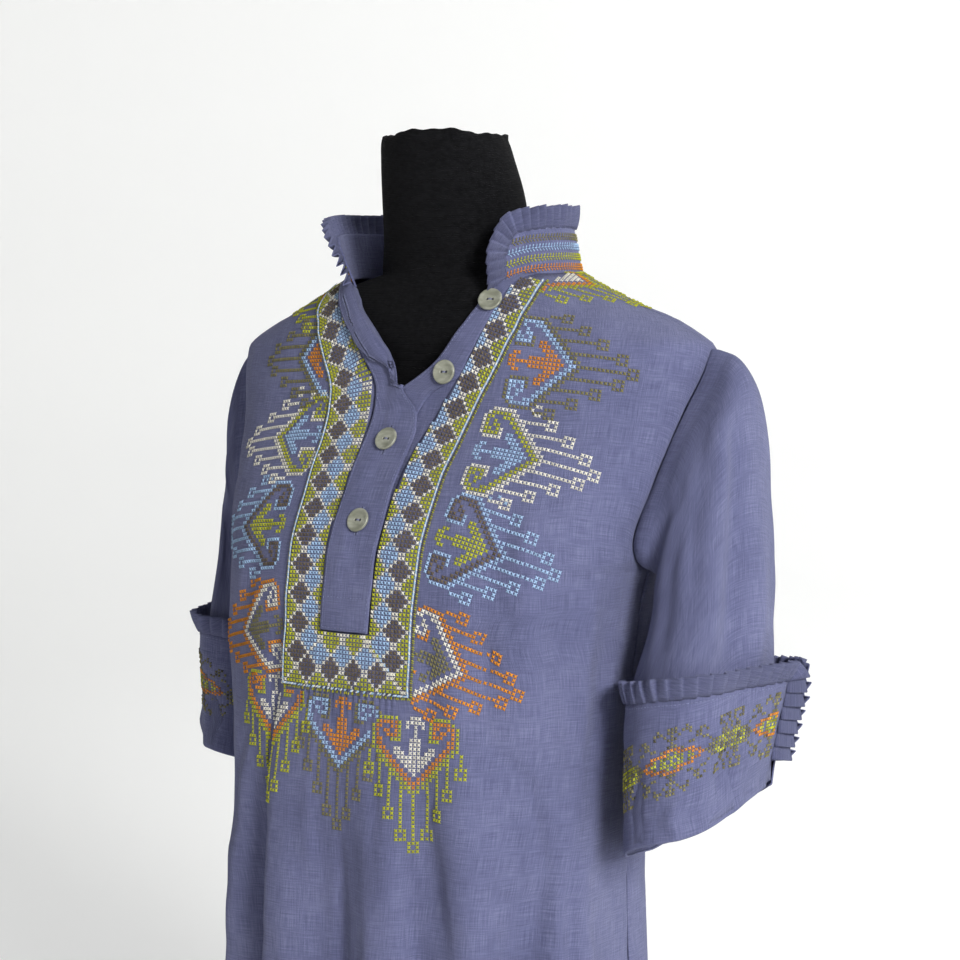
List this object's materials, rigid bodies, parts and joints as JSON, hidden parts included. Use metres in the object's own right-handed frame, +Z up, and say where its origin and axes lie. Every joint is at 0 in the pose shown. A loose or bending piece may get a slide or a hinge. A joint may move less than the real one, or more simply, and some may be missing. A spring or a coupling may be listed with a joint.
{
  "type": "tunic on a limbless dress form",
  "caption": "Linen tunic with a frilled stand collar, an open buttoned neck, an embroidered bib and turned-up frilled cuffs, worn by a plain neck-and-torso dress form.",
  "frame": {"origin": "on the surface that the dress form stands on, straight below the root of its neck", "axes": "+Z up, the wearer's front towards -Y, the wearer's left towards +X"},
  "size_m": [0.5371, 0.2789, 0.864],
  "materials": {
    "linen": "matt blue-violet plain-weave linen",
    "band": "matt cotton thread in lime, orange, off-white, light blue and olive on linen",
    "shell": "polished grey-green shell",
    "jersey": "matt black knitted jersey"
  },
  "bodies": {
    "root": {"front": "linen", "back": "linen", "sleeve_left": "linen", "sleeve_right": "linen", "cuff_left": "linen", "cuff_right": "linen", "cuff_frill_left": "linen", "cuff_frill_right": "linen", "collar": "linen", "collar_frill": "linen", "bib": "band", "placket_under": "linen", "placket_top": "linen", "button_1": "shell", "button_2": "shell", "button_3": "shell", "button_4": "shell", "form": "jersey"}
  },
  "joints": []
}
